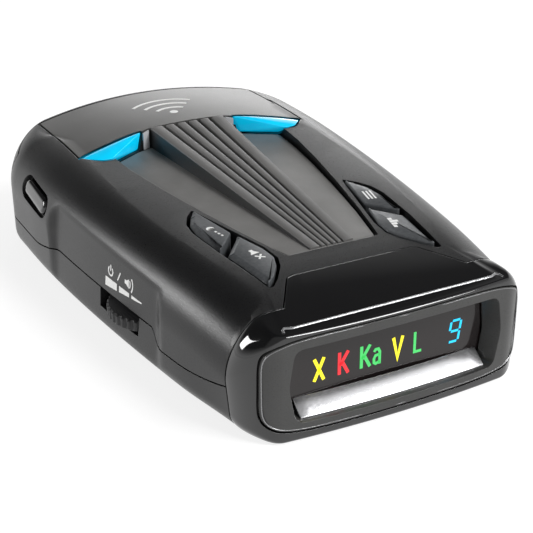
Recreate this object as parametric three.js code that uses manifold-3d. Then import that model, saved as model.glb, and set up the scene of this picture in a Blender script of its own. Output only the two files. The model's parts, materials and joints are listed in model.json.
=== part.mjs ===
// Compact windscreen radar detector: a soft wedge-shaped case with a display at the narrow end and the
// antenna at the wide end. Millimetres, +Z up. While it is built, y = 0 is the display face and y grows
// towards the antenna end; the finished group is moved so that its origin is the bottom centre.
import * as THREE from 'three';
import { mergeVertices } from 'three/addons/utils/BufferGeometryUtils.js';
import { ConvexGeometry } from 'three/addons/geometries/ConvexGeometry.js';
import Module from 'manifold-3d';

const wasm = await Module();
wasm.setup();

// ---------------------------------------------------------------- driving dimensions
const LENGTH = 110;          // display face to antenna end
const WIDTH = 71.2;          // widest, over the antenna end
const WIDEST_Y = 84;         // where the sides stop widening and the rounded antenna end starts
const WALL = 2;              // case wall
const GAP = 0.3;             // clearance between fixed pieces
const FRONT_ROUND = 6.5;     // radius of the front corners, seen from above
const FRONT_BOW = 0.0021;    // bow of the display face, mm per mm squared
const REAR_ROUND = 11.5;     // radius of the corners of the antenna end
const REAR_BOW = 0.003;      // bow of the antenna end
const CREASE_X = 23.7;       // half width of the deck, where it turns over into the shoulder
const CROWN = 0.0042;        // cross curvature of the raised crown
const CEILING = 18.6;        // underside of the top cover's deck
const FACET_DEPTH = 0.45;    // flat finger facet in each side
const FACET_LEAN = 0.22;     // how fast the facet leans in with height, as a share of its depth per mm
const FACET_FROM = 27.5;
const FACET_TO = 74;
const FACET_RAMP = 3;
const SEAM_LOW = 6.4;        // height of the seam between the covers near the display
const SEAM_REAR = 6.9;       // at the antenna end
const SEAM_HIGH = 9;         // and along the finger facets
const HOOD_Y = 8.8;          // back edge of the front hood
const TAB_Y = 16.2;          // back edge of the hood's tab on the deck
const REAR_SKIN = 1.9;       // thickness of the wrapped rear cover
const REAR_FROM = 99;        // where the rear cover starts on the sides
const PANEL_FRONT = 22.9;    // front edge of the trim panel
const STEP_Y = 83.8;         // foot of the crown's step at the centre
const LENS_TIP = [25.4, 79.5];
const BOARD_Z = 11.9;        // underside of the main board
const BOARD_T = 1.6;
const WHEEL = { x: -24.6, y: 43.8, z: 5.5, r: 9.4, t: 2.2, ridges: 40 };
const SLOT = { halfWidth: 13, low: 12.6, high: 17.3, depth: 16 };   // windscreen bracket slot
// Bracket release button: a pill on the left side, turned to the slope of the shoulder there.
const RELEASE = { x: -35, y: 82.3, z: 16.5, tilt: 0.08, lean: 0.36, halfLong: 6.3, halfHigh: 1.6 };
const SCREWS = [[22.5, 19], [27, 89]];                              // half pattern of the case screws
const SPEAKER = { x: 5, y: 37.5, r: 14 };
const JACK = { y: 59, z: 7.2 };

// ---------------------------------------------------------------- outer form
const clamp = (t) => Math.min(1, Math.max(0, t));
const smooth = (t) => clamp(t) ** 2 * (3 - 2 * clamp(t));
const mix = (a, b, t) => a + (b - a) * t;
const upTo = (count, make) => Array.from({ length: count + 1 }, (_, i) => make(i / count));

const halfWidth = (y) => WIDTH / 2 - 0.0068 * Math.max(0, WIDEST_Y - y) ** 1.62;
const deckZ = (y) => 21 + 0.035 * y - 0.0023 * Math.max(0, 28 - y) ** 2 - 0.0015 * Math.max(0, y - 80) ** 2;
const crownZ = (x, y) => deckZ(y) + CROWN * smooth((y - 15) / 65) * (CREASE_X ** 2 - x * x);
const facet = (y) => FACET_DEPTH * smooth((y - FACET_FROM) / FACET_RAMP) * smooth((FACET_TO - y) / FACET_RAMP);
const seamZ = (y) => mix(
  mix(SEAM_LOW, SEAM_REAR, smooth((y - 60) / 20)) + 0.0107 * Math.max(0, 23 - y) ** 2,
  SEAM_HIGH,
  smooth((y - 29.6) / 2.6) * smooth((82 - y) / 13),
);
const panelZ = (y) => 21.5 + 0.008 * (y - PANEL_FRONT);
const lensLineY = (x) => mix(STEP_Y, LENS_TIP[1], clamp((Math.abs(x) - 8.4) / (LENS_TIP[0] - 8.4)));

// Half outline seen from above, from the middle of the display face round to the middle of the rear.
function halfOutline() {
  const quarter = (steps, make) => upTo(steps, (t) => make(t * Math.PI / 2));
  const frontEdge = halfWidth(FRONT_ROUND) - FRONT_ROUND;
  const rearEdge = WIDTH / 2 - REAR_ROUND;
  const front = [0.5, 8, 14].map((x) => [x, FRONT_BOW * x * x]);
  const frontCorner = quarter(6, (a) => {
    const x = frontEdge + FRONT_ROUND * Math.sin(a);
    const y = FRONT_BOW * x * x + FRONT_ROUND * (1 - Math.cos(a));
    return [x + (halfWidth(y) - halfWidth(FRONT_ROUND)) * Math.sin(a) ** 2, y];
  });
  const side = [11, 15, 19.5, 24, 27.5, 29, 30.5, 36, 42, 48, 54, 60, 66, 71, 72.5, 74, 79, 84, 90]
    .map((y) => [halfWidth(y), y]);
  const rearCorner = quarter(8, (a) => {
    const x = rearEdge + REAR_ROUND * Math.cos(a);
    return [x, LENGTH - REAR_BOW * x * x - REAR_ROUND * (1 - Math.sin(a))];
  });
  const rear = [18, 12, 6, 0.5].map((x) => [x, LENGTH - REAR_BOW * x * x]);
  return [...front, ...frontCorner, ...side, ...rearCorner, ...rear];
}

// Whole outline, pulled inward by inset, as [x, y, outward normal x, outward normal y].
function outline(inset) {
  const right = halfOutline();
  const ring = [...right, ...right.map(([x, y]) => [-x, y]).reverse()];
  return ring.map(([x, y], i) => {
    const [ax, ay] = ring[(i + ring.length - 1) % ring.length];
    const [bx, by] = ring[(i + 1) % ring.length];
    const long = Math.hypot(bx - ax, by - ay);
    const n = [(by - ay) / long, (ax - bx) / long];
    return [x - n[0] * inset, y - n[1] * inset, ...n];
  });
}

// A closed body from rings of equal length, capped by a point at each end.
function ringBody(bottom, rings, top) {
  const n = rings[0].length;
  const points = [bottom, ...rings.flat(), top];
  const index = [];
  for (let i = 0; i < n; i += 1) {
    const j = (i + 1) % n;
    index.push(0, 1 + j, 1 + i);
    for (let k = 0; k + 1 < rings.length; k += 1) {
      const [a, b, c, d] = [k * n + i, k * n + j, (k + 1) * n + j, (k + 1) * n + i].map((v) => v + 1);
      index.push(a, b, c, a, c, d);
    }
    const last = 1 + (rings.length - 1) * n;
    index.push(last + i, last + j, points.length - 1);
  }
  const geometry = new THREE.BufferGeometry();
  geometry.setAttribute('position', new THREE.Float32BufferAttribute(points.flat(), 3));
  geometry.setIndex(index);
  return geometry;
}

// The smooth outer form of the case, or the same form shrunk by inset for the cavity.
function caseForm(inset) {
  const ring = outline(inset);
  const level = (place) => ring.map(([x, y, nx, ny]) => {
    const side = nx * nx;
    const front = ny < 0 ? ny * ny : 0;
    const rear = 1 - side - front;
    const across = mix(10.6, 11.8, smooth((y - 15) / 60));
    const edge = {
      across: Math.max(0.4, side * across + front * 0.6 + rear * 1.6 - inset),
      down: Math.max(0.4, side * 11 + front * 0.6 + rear * 1.6 - inset),
      under: Math.max(0.3, side * 3.8 + front * 0.5 + rear * 1.5 - inset),
      lean: side * 0.6 * smooth((24 - y) / 16),
      top: crownZ(x - nx * across * side, y - ny * 1.2) - inset,
    };
    const [back, z] = place(edge);
    const limit = halfWidth(y) - facet(y) * (1 + FACET_LEAN * Math.max(0, z - 6)) - inset;
    const px = x - nx * back;
    return [Math.sign(px) * Math.min(Math.abs(px), limit), y - ny * back, z];
  });
  const rings = [];
  for (const s of [0.4, 0.75]) {
    rings.push(level((e) => [e.under + e.lean, inset]).map(([x, y, z]) => [x * s, mix(55, y, s), z]));
  }
  for (const a of [0, 0.3, 0.65, 1]) {
    const turn = a * Math.PI / 2;
    rings.push(level((e) => [e.lean + e.under * (1 - Math.sin(turn)), inset + e.under * (1 - Math.cos(turn))]));
  }
  for (const a of [0, 0.16, 0.33, 0.5, 0.67, 0.84, 1]) {
    const turn = a * Math.PI / 2;
    rings.push(level((e) => [e.across * (1 - Math.cos(turn)), e.top - e.down * (1 - Math.sin(turn))]));
  }
  const rim = rings.at(-1);
  for (const s of [0.8, 0.55, 0.28]) {
    rings.push(rim.map(([x, y]) => [x * s, mix(55, y, s), crownZ(x * s, mix(55, y, s)) - inset]));
  }
  return ringBody([0, 55, inset], rings, [0, 55, crownZ(0, 55) - inset]);
}

// ---------------------------------------------------------------- solid helpers
function solid(geometry) {
  const plain = geometry.index ? geometry.clone() : geometry;
  plain.deleteAttribute('normal');
  plain.deleteAttribute('uv');
  const merged = mergeVertices(plain, 1e-4);
  return new wasm.Manifold(new wasm.Mesh({
    numProp: 3,
    vertProperties: new Float32Array(merged.attributes.position.array),
    triVerts: new Uint32Array(merged.index.array),
  }));
}

// Snaps a body's corners to a fine grid, which closes up slivers left by the cuts.
function snapped(body) {
  const grid = 0.002;
  const mesh = body.asOriginal().simplify(0.004).getMesh();
  const geometry = new THREE.BufferGeometry();
  const points = Float32Array.from(mesh.vertProperties, (v) => Math.round(v / grid) * grid);
  geometry.setAttribute('position', new THREE.BufferAttribute(points, 3));
  geometry.setIndex(Array.from(mesh.triVerts));
  const merged = mergeVertices(geometry, grid / 4);
  const index = [];
  for (let i = 0; i < merged.index.count; i += 3) {
    const [a, b, c] = merged.index.array.slice(i, i + 3);
    if (a !== b && b !== c && c !== a) index.push(a, b, c);
  }
  merged.setIndex(index);
  return solid(merged);
}

function geometryOf(body) {
  const mesh = snapped(body).getMesh();
  const geometry = new THREE.BufferGeometry();
  geometry.setAttribute('position', new THREE.Float32BufferAttribute(mesh.vertProperties, 3));
  geometry.setIndex(Array.from(mesh.triVerts));
  return geometry;
}

const box = (x0, x1, y0, y1, z0, z1) => solid(
  new THREE.BoxGeometry(x1 - x0, y1 - y0, z1 - z0).translate((x0 + x1) / 2, (y0 + y1) / 2, (z0 + z1) / 2),
);
const shapeOf = (points) => new THREE.Shape(points.map(([a, b]) => new THREE.Vector2(a, b)));
const flat = { bevelEnabled: false, curveSegments: 6 };

// An outline in plan, raised from z0 to z1.
const plan = (points, z0, z1) => solid(
  new THREE.ExtrudeGeometry(shapeOf(points), { ...flat, depth: z1 - z0 }).translate(0, 0, z0),
);
// An outline of [y, z] points, swept across the case from x0 to x1.
const profile = (points, x0, x1) => solid(
  new THREE.ExtrudeGeometry(shapeOf(points), { ...flat, depth: x1 - x0 })
    .applyMatrix4(new THREE.Matrix4().set(0, 0, 1, x0, 1, 0, 0, 0, 0, 1, 0, 0, 0, 0, 0, 1)),
);
// An outline of [x, z] points, swept along the case from y0 to y1.
const along = (points, y0, y1) => solid(
  new THREE.ExtrudeGeometry(shapeOf(points), { ...flat, depth: y1 - y0 }).rotateX(Math.PI / 2).translate(0, y1, 0),
);
const drum = (x, y, z0, z1, r, sides = 20) => solid(
  new THREE.CylinderGeometry(r, r, z1 - z0, sides).rotateX(Math.PI / 2).translate(x, y, (z0 + z1) / 2),
);
// A round bar across the case, along X.
const bar = (x0, x1, y, z, r, sides = 18) => solid(
  new THREE.CylinderGeometry(r, r, x1 - x0, sides).rotateZ(Math.PI / 2).translate((x0 + x1) / 2, y, z),
);
const pair = (make) => make(-1).add(make(1));
const largest = (body) => body.decompose().sort((a, b) => b.volume() - a.volume())[0];
const mirrored = (points) => points.map(([x, y]) => [-x, y]).reverse();

// ---------------------------------------------------------------- zones that divide the case
const outer = solid(caseForm(0));
const cavity = solid(caseForm(WALL)).intersect(box(-60, 60, -5, 130, -1, CEILING));
const insetPlan = (inset) => plan(outline(inset).map(([x, y], i, ring) => {
  const [nextX, nextY] = ring[(i + 1) % ring.length];
  return [mix(x, nextX, 0.5), mix(y, nextY, 0.5)];
}), -5, 60);

const hoodZone = (grow) => plan([
  [-60, -5], [60, -5], [60, HOOD_Y + grow], [17.6, HOOD_Y - 0.9 + grow], [-17.6, HOOD_Y - 0.9 + grow],
  [-60, HOOD_Y + grow],
], -5, 60).add(plan([
  [17.6 + grow, 0], [17.6 + grow, HOOD_Y - 0.9], [12.7 + grow, TAB_Y - 0.4], [11.4, TAB_Y + grow],
  [-11.4, TAB_Y + grow], [-12.7 - grow, TAB_Y - 0.4], [-17.6 - grow, HOOD_Y - 0.9], [-17.6 - grow, 0],
], CEILING - 6, 60));
const rearZone = (grow) => box(-60, 60, REAR_FROM - grow, 140, -5, 60).subtract(insetPlan(REAR_SKIN + grow));
const SEAM_STATIONS = [130, 82, 79.5, 77, 74.5, 72, 69, 60, 50, 32.3, 31.8, 31.3, 30.8, 30.3, 29.6, 23,
  19, 15, 11, 7, -5];
const below = (shift) => profile(
  [[-5, -5], [130, -5], ...SEAM_STATIONS.map((y) => [y, seamZ(y) + shift])], -60, 60,
);
const crownPlan = (shrink) => {
  const half = LENS_TIP[0] + 0.3 - shrink;
  const front = upTo(4, (t) => half * t).map((x) => [x, lensLineY(x) + shrink]);
  const rightSide = [...front, [half, 118]];
  return plan([...rightSide.slice(1), ...mirrored(rightSide)], 20.6 + shrink, 60)
    .intersect(insetPlan(REAR_SKIN + GAP + shrink));
};
const deckCut = profile(
  [...upTo(24, (t) => 90 * t).map((y) => [y, deckZ(y) + 0.08 * smooth((21 - y) / 5)]), [90, 60], [-5, 60],
    [-5, deckZ(0)]], -60, 60,
).subtract(plan([
  ...upTo(6, (t) => mix(-LENS_TIP[0], LENS_TIP[0], t)).map((x) => [x, lensLineY(x)]),
  [60, LENS_TIP[1]], [60, 130], [-60, 130], [-60, LENS_TIP[1]],
], -5, 61));
const body = outer.subtract(deckCut);

// ---------------------------------------------------------------- keys
// The two keys of the right-hand side; the left-hand pair mirrors them.
const REAR_KEY = [[16, 45.7], [17.5, 43.8], [18.9, 41], [19.3, 37.5], [18.5, 29.2], [13.9, 34.5]];
const FRONT_KEY = [[13.4, 33], [18, 27.2], [16.5, 15.2], [14.6, 17], [12.4, 20.2], [11.4, 22.9], [11.6, 26.4]];
const KEY_HOLE = [[16, 46.6], [18, 44.2], [19.5, 41.2], [19.9, 37.5], [18.9, 27.2], [17, 14.2], [16.1, 14.2],
  [14.2, 16.3], [11.8, 19.8], [10.8, 22.6], [11.1, 27], [13, 34.6]];
const KEYS = {
  rear: { shape: REAR_KEY, x: 17.3, y: 38 },
  front: { shape: FRONT_KEY, x: 14.8, y: 23.5 },
};

function keyCap(side, key) {
  const shape = side < 0 ? mirrored(key.shape) : key.shape;
  const cap = plan(shape, CEILING - 1.6, 30)
    .intersect(profile([[0, 0], [60, 0], [60, deckZ(60) + 0.45], [14, deckZ(14) + 0.45], [0, deckZ(0)]], -60, 60));
  const x = side * key.x;
  const flange = box(x - 2.4, x + 2.4, key.y - 5.5, key.y + 5.5, CEILING - 1.6, CEILING - 0.6);
  const stem = drum(x, key.y, BOARD_Z + BOARD_T + 3, CEILING - 1, 1.3, 12);
  return cap.add(flange).add(stem);
}

const SWITCH_H = 2;
const boardTop = BOARD_Z + BOARD_T;
function keySwitch(side, key) {
  const x = side * key.x;
  return box(x - 2.2, x + 2.2, key.y - 2.2, key.y + 2.2, boardTop + GAP, boardTop + GAP + SWITCH_H)
    .subtract(drum(x, key.y, boardTop + 0.7, boardTop + 3, 1.2, 16));
}
const keyPlunger = (side, key) => drum(side * key.x, key.y, boardTop + 1.4, boardTop + 2.7, 0.9, 14);

// ---------------------------------------------------------------- covers
const SCREW_SPOTS = SCREWS.flatMap(([x, y]) => [[x, y], [-x, y]]);
const WHEEL_MOUTH = [[-60, -25], [37.2, 51.4]];

// Pill outline of the release button, grown on all sides and running inward from one depth to another.
function releaseForm(grow, from, to, lean = RELEASE.lean, z = RELEASE.z) {
  const pill = new THREE.Shape();
  const r = RELEASE.halfHigh + grow;
  const reach = RELEASE.halfLong - RELEASE.halfHigh;
  pill.absarc(reach, 0, r, -Math.PI / 2, Math.PI / 2);
  pill.absarc(-reach, 0, r, Math.PI / 2, Math.PI * 1.5);
  const geometry = new THREE.ExtrudeGeometry(pill, { ...flat, depth: to - from });
  geometry.applyMatrix4(new THREE.Matrix4().set(0, 0, 1, from, 1, 0, 0, 0, 0, 1, 0, 0, 0, 0, 0, 1));
  return solid(geometry.rotateX(RELEASE.tilt).rotateY(lean).translate(RELEASE.x, RELEASE.y, z));
}

// Wedge-shaped lens body, flush with the crown; grow gives the clearance pocket round it.
function lensBlock(side, grow) {
  const top = [[10.7, 83.3], [18, 81.5], [25.2, 79.8]];
  const front = [[22.3, 76.3, 23.8], [19.9, 76.1, 23.8], [19, 77.9, 22.3], [12, 82.3, 22.3]];
  const flush = (x, y) => [x, y, Math.min(crownZ(x, y), 23.9 + Math.max(0, 24.6 - x)) - 0.06];
  const points = [
    ...top.flatMap(([x, y]) => [flush(x, y), flush(x * 0.98, 86)]),
    ...front.flatMap(([x, y, z]) => [[x, y, z], [x * 0.98, 86, z]]),
  ];
  const spread = grow ? [[1, 0, 0], [-1, 0, 0], [0, 1, 0], [0, -1, 0], [0, 0, 1], [0, 0, -1]] : [[0, 0, 0]];
  return solid(new ConvexGeometry(points.flatMap((p) => spread.map(
    (d) => new THREE.Vector3(side * (p[0] + d[0] * grow), p[1] + d[1] * grow, p[2] + d[2] * grow),
  ))));
}
const LENS_STEM = { x: 11.9, y: 84.6, r: 1.1 };
const lensStem = (side, grow) => drum(
  side * LENS_STEM.x, LENS_STEM.y, 16.5 - grow, 23 + grow, LENS_STEM.r + grow, 14,
);

function panelHalf(grow) {
  return [[8.7 + grow, PANEL_FRONT - grow], [11.6 + grow, 34], [14.2 + grow, 46], [16.5 + grow, 58],
    [18.2 + grow, 69], [18.9 + grow, 77.4 + grow], [12.3, 81.6 + grow], [8.6, 83.2 + grow]];
}
const panelPlan = (grow) => [...panelHalf(grow), ...mirrored(panelHalf(grow))];

function topCover() {
  let cover = body.subtract(cavity).subtract(below(GAP / 2)).subtract(hoodZone(GAP)).subtract(rearZone(GAP));
  for (const [x, y] of SCREW_SPOTS) {
    cover = cover.add(drum(x, y, seamZ(y) + 0.5, CEILING + 0.4, 2.6, 16));
  }
  cover = cover.subtract(crownPlan(-0.15)).subtract(plan(panelPlan(0.5), 20.1, 60));
  for (const side of [-1, 1]) {
    cover = cover.subtract(plan(side < 0 ? mirrored(KEY_HOLE) : KEY_HOLE, CEILING - 1, 60));
    cover = cover.subtract(lensBlock(side, 0.5)).subtract(lensStem(side, GAP));
  }
  for (const [x, y] of SCREW_SPOTS) cover = cover.subtract(drum(x, y, 0, 16, 1.25, 12));
  cover = cover.subtract(releaseForm(0.9, -20, 1.3)).subtract(releaseForm(0.45, -20, 8, 0, RELEASE.z - 0.3));
  return largest(cover.subtract(bar(20, 60, JACK.y, JACK.z, 4.2)));
}

function bottomCover() {
  let cover = body.subtract(cavity).intersect(below(-GAP / 2)).subtract(hoodZone(GAP)).subtract(rearZone(GAP));
  for (const [x, y] of SCREW_SPOTS) cover = cover.add(drum(x, y, 0.5, seamZ(y) - 0.2, 3.8, 18));
  for (const [x, y] of SCREW_SPOTS) {
    cover = cover.subtract(drum(x, y, -1, 2.6, 2.7, 16)).subtract(drum(x, y, -1, 20, 1.3, 12));
  }
  cover = cover.subtract(drum(WHEEL.x, WHEEL.y, WHEEL.z - 0.5, 30, WHEEL.r + 0.5));
  cover = cover.subtract(box(...WHEEL_MOUTH[0], ...WHEEL_MOUTH[1], WHEEL.z - 0.4, 30));
  for (const i of [-4, -3, -2, -1, 0, 1, 2, 3, 4]) {
    const reach = Math.sqrt(12.5 ** 2 - (2.6 * i) ** 2);
    const x = SPEAKER.x + 2.6 * i;
    cover = cover.subtract(box(x - 0.6, x + 0.6, SPEAKER.y - reach, SPEAKER.y + reach, -1, WALL + 1));
  }
  return cover.subtract(bar(20, 60, JACK.y, JACK.z, 4.2));
}

// Rounded outline of the display face, as [x, z] points with bowed sides.
function facePlate(grow) {
  const half = 25.2 + grow;
  const tall = 8.7 + grow;
  return upTo(40, (t) => t * 2 * Math.PI).slice(0, -1).map((a) => {
    const power = 2 / 6;
    const [c, s] = [Math.cos(a), Math.sin(a)];
    return [half * Math.sign(c) * Math.abs(c) ** power, 10.1 + tall * Math.sign(s) * Math.abs(s) ** power];
  });
}

function frontHood() {
  const inside = solid(caseForm(1.7)).intersect(box(-60, 60, 2, 60, -1, 19.4));
  const shell = body.intersect(hoodZone(0)).subtract(inside);
  return shell.subtract(along(facePlate(0), -5, 4.4));
}

const rearCover = () => body.intersect(rearZone(0))
  .subtract(box(-SLOT.halfWidth, SLOT.halfWidth, 90, 130, SLOT.low, SLOT.high))
  .subtract(box(17.5, 26.5, 100, 130, 6.5, 12.5));
const crownPanel = () => body.intersect(crownPlan(GAP))
  .subtract(pair((side) => lensBlock(side, 0.5).add(lensStem(side, GAP))));
const alertLens = (side) => lensBlock(side, 0).add(lensStem(side, 0));

// Trim panel: two low side plates and a ribbed wedge that climbs to the crown.
function ribbedPanel() {
  const floor = 20.4;
  const plates = plan(panelPlan(0), floor, 40).intersect(profile(
    [[0, floor], [120, floor], [120, panelZ(120)], [0, panelZ(0)]], -60, 60,
  ));
  const y0 = PANEL_FRONT;
  const wedgePoint = (x, y, z) => new THREE.Vector3(x, y, z);
  const corners = [-1, 1].flatMap((s) => [
    wedgePoint(s * 4.5, y0, floor), wedgePoint(s * 4.3, y0, 21.9),
    wedgePoint(s * 8.7, STEP_Y - GAP, floor), wedgePoint(s * 8.4, STEP_Y - GAP, 26.2),
  ]);
  let panel = plates.add(solid(new ConvexGeometry(corners)));
  for (const i of [-2, -1, 0, 1, 2]) {
    const groove = [-1, 1].flatMap((s) => [
      wedgePoint(1.1 * i + s * 0.22, y0 - 0.5, 21.5), wedgePoint(1.1 * i + s * 0.22, y0 - 0.5, 23),
      wedgePoint(2.65 * i + s * 0.32, STEP_Y + 1, 25.7), wedgePoint(2.65 * i + s * 0.32, STEP_Y + 1, 28),
    ]);
    panel = panel.subtract(solid(new ConvexGeometry(groove)));
  }
  return panel;
}

// ---------------------------------------------------------------- display end
const openingAt = (y, halfX, z0, z1) => [[-halfX, z0], [halfX, z0], [halfX, z1], [-halfX, z1]]
  .map(([x, z]) => new THREE.Vector3(x, y, z));

function displayBezel() {
  const plate = along(facePlate(-GAP), -5, 4.2).intersect(outer);
  const mouth = solid(new ConvexGeometry([...openingAt(-1, 20.8, 3, 17.2), ...openingAt(4.5, 18.3, 3, 15.7)]));
  return plate.subtract(mouth);
}
const reflectorBar = () => profile([[1.4, 3.3], [4.2, 3.3], [4.2, 5.6], [1.4, 4]], -18, 18);

// ---------------------------------------------------------------- volume wheel
function volumeWheel() {
  const rim = new THREE.Shape();
  for (let i = 0; i < WHEEL.ridges * 2; i += 1) {
    const a = (i / WHEEL.ridges) * Math.PI;
    const r = i % 2 ? WHEEL.r - 0.35 : WHEEL.r;
    if (i === 0) rim.moveTo(r, 0);
    else rim.lineTo(r * Math.cos(a), r * Math.sin(a));
  }
  const disc = solid(
    new THREE.ExtrudeGeometry(rim, { ...flat, depth: WHEEL.t }).translate(WHEEL.x, WHEEL.y, WHEEL.z),
  );
  return disc.subtract(drum(WHEEL.x, WHEEL.y, 0, 20, 1.8));
}
const volumePot = () => drum(WHEEL.x, WHEEL.y, WHEEL.z + WHEEL.t + 0.4, BOARD_Z - GAP, 4.9)
  .add(drum(WHEEL.x, WHEEL.y, WHEEL.z - 0.6, BOARD_Z - 2, 1.5, 14));

// ---------------------------------------------------------------- bracket latch
const LATCH_Z = [14, 15.8];
const ARM_X = SLOT.halfWidth + 1.9;
const releaseButton = () => releaseForm(0, 0.12, 1.7).add(box(-33.8, -30, 77.5, 86.5, 14.9, 16.9));
function latchSlider() {
  const [z0, z1] = LATCH_Z;
  return box(-29.7, ARM_X + 2.2, 79.4, 83.2, z0, z1)
    .add(box(ARM_X, ARM_X + 2.2, 82, 99, z0, z1))
    .add(box(SLOT.halfWidth - 1.1, ARM_X + 1, 95.2, 98, z0, z1))
    .add(bar(ARM_X + 1, ARM_X + 4, 81.3, (z0 + z1) / 2, 0.6, 12));
}
const SPRING = { from: ARM_X + 2.4, to: ARM_X + 9, coil: 1, wire: 0.25, turns: 4.5 };
function latchSpring() {
  class Helix extends THREE.Curve {
    getPoint(t, target = new THREE.Vector3()) {
      const a = t * SPRING.turns * 2 * Math.PI;
      const z = (LATCH_Z[0] + LATCH_Z[1]) / 2 + SPRING.coil * Math.cos(a);
      return target.set(mix(SPRING.from + 0.3, SPRING.to - 0.3, t), 81.3 + SPRING.coil * Math.sin(a), z);
    }
  }
  const wire = new THREE.Shape();
  for (let i = 0; i < 6; i += 1) {
    const a = (i * Math.PI) / 3;
    if (i === 0) wire.moveTo(SPRING.wire, 0);
    else wire.lineTo(SPRING.wire * Math.cos(a), SPRING.wire * Math.sin(a));
  }
  return solid(new THREE.ExtrudeGeometry(wire, { steps: 60, bevelEnabled: false, extrudePath: new Helix() }));
}
const springPost = () => box(SPRING.to + 0.2, SPRING.to + 2, 78.8, 83.8, boardTop + GAP, CEILING - GAP);

function bracketSocket() {
  const y1 = LENGTH - 2.6;
  const y0 = y1 - SLOT.depth;
  const shell = box(-SLOT.halfWidth - 1.5, SLOT.halfWidth + 1.5, y0 - 1.2, y1, SLOT.low - 1, SLOT.high + 1);
  return shell.subtract(box(-SLOT.halfWidth, SLOT.halfWidth, y0, 130, SLOT.low, SLOT.high))
    .subtract(box(SLOT.halfWidth - 1, 40, 94.6, 98.6, LATCH_Z[0] - 0.4, LATCH_Z[1] + 0.4))
    .intersect(insetPlan(REAR_SKIN + GAP));
}

// ---------------------------------------------------------------- electronics
const mainBoard = () => plan([
  [-18.6, 13], [18.6, 13], [18.6, 24.5], [26.5, 30], [29, 84],
  [20, 90], [-20, 90], [-29, 84], [-28, 30], [-18.6, 24.5],
], BOARD_Z, boardTop).subtract(drum(WHEEL.x, WHEEL.y, 0, 30, 2.2, 12));

function hornAntenna() {
  const mouthAt = (y, halfX, z0, z1) => openingAt(y, halfX, z0, z1);
  const block = solid(new ConvexGeometry([...mouthAt(64, 8, 3.2, 10.4), ...mouthAt(84, 8, 3.2, 10.4)]))
    .add(solid(new ConvexGeometry([...mouthAt(83.9, 8, 3.2, 10.4), ...mouthAt(105.8, 15, 2.6, 11)])));
  const flare = solid(new ConvexGeometry([...mouthAt(84, 5.4, 4.6, 9.2), ...mouthAt(106, 14.2, 3.4, 10.3)]));
  return block.subtract(flare).subtract(box(-5.4, 5.4, 68, 84.4, 4.6, 9.2));
}

function speakerFrame() {
  const r = SPEAKER.r;
  const ring = [[r - 2, 2.4], [r, 2.4], [r, 4], [r - 3, 5], [7, 7.4], [6.6, 7.4], [6.6, 6.8],
    [r - 3.4, 4.2], [r - 2, 3.6]];
  const points = [...ring, ring[0]].map(([a, b]) => new THREE.Vector2(a, b));
  return solid(new THREE.LatheGeometry(points, 28).rotateX(Math.PI / 2).translate(SPEAKER.x, SPEAKER.y, 0));
}
function speakerCone() {
  const cone = [[0, 5.9], [4, 5.7], [9.2, 3.4], [11.2, 3.1], [11.4, 3.4], [9.4, 3.8], [4.6, 6.3], [0, 6.5]];
  const points = cone.map(([a, b]) => new THREE.Vector2(a, b));
  return solid(new THREE.LatheGeometry(points, 24).rotateX(Math.PI / 2).translate(SPEAKER.x, SPEAKER.y, 0));
}
const speakerMagnet = () => drum(SPEAKER.x, SPEAKER.y, 7.7, 10.6, 8, 28);

const jackBody = () => box(21, 30.8, JACK.y - 4.5, JACK.y + 4.5, JACK.z - 3.6, JACK.z + 3.6)
  .subtract(bar(22.5, 40, JACK.y, JACK.z, 2.9));
const jackPin = () => bar(22.8, 30.2, JACK.y, JACK.z, 0.9, 12);

const caseScrew = (x, y) => drum(x, y, 0.7, 2.3, 2.4, 18).add(drum(x, y, 2.2, 14, 0.95, 12))
  .subtract(box(x - 1.6, x + 1.6, y - 0.3, y + 0.3, 0, 1.3)).subtract(box(x - 0.3, x + 0.3, y - 1.6, y + 1.6, 0, 1.3));

// ---------------------------------------------------------------- finishes
const finishes = {
  caseBlack: { color: 0x232324, roughness: 0.42, metalness: 0 },
  glossBlack: { color: 0x0b0b0c, roughness: 0.12, metalness: 0 },
  satinGrey: { color: 0x5b5a58, roughness: 0.45, metalness: 0 },
  keyGrey: { color: 0x6c7075, roughness: 0.4, metalness: 0.4 },
  smokedWindow: { color: 0x3a3334, roughness: 0.1, metalness: 0 },
  chrome: { color: 0xe6e6ea, roughness: 0.12, metalness: 1 },
  blueLens: { color: 0x17b4f2, roughness: 0.2, metalness: 0 },
  redLens: { color: 0x4a0508, roughness: 0.15, metalness: 0 },
  board: { color: 0x1d5a34, roughness: 0.5, metalness: 0 },
  metal: { color: 0xb9bbbd, roughness: 0.35, metalness: 1 },
  darkPlastic: { color: 0x17171a, roughness: 0.6, metalness: 0 },
  whitePlastic: { color: 0xe6e4dc, roughness: 0.5, metalness: 0 },
  paper: { color: 0x2a2622, roughness: 0.95, metalness: 0 },
};

// ---------------------------------------------------------------- assembly
const detector = new THREE.Group();
detector.position.set(0, -LENGTH / 2, 0);

function piece(name, body_, finish) {
  const mesh = new THREE.Mesh(geometryOf(body_), new THREE.MeshStandardMaterial(finishes[finish]));
  mesh.name = name;
  detector.add(mesh);
}

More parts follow.
